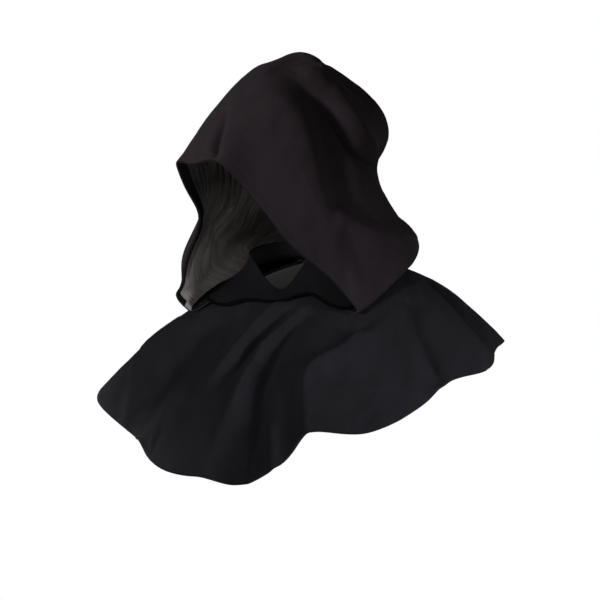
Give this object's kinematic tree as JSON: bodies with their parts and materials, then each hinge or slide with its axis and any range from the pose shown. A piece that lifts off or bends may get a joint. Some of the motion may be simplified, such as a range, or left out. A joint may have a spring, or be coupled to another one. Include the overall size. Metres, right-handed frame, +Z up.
{
  "type": "reaper hood",
  "caption": "Worn costume hood of black cloth: a large slouching hood, open at the face, on a flared shoulder cape with a wavy hem.",
  "frame": {"origin": "where the crown of the head touches the inside of the hood", "axes": "+Z up, -Y to the front of the shoulders, +X to the wearer's left; the upper hood is turned 22 degrees to the wearer's right"},
  "size_m": [0.6182, 0.4827, 0.5529],
  "materials": {
    "cloth": "matte black woven cloth, brushed charcoal on its inner face",
    "hem_cloth": "the same black cloth, turned and stitched"
  },
  "bodies": {
    "root": {"hood_left": "cloth", "hood_right": "cloth", "hood_hem": "hem_cloth", "collar": "cloth", "cape": "cloth", "cape_hem": "hem_cloth"}
  },
  "joints": []
}
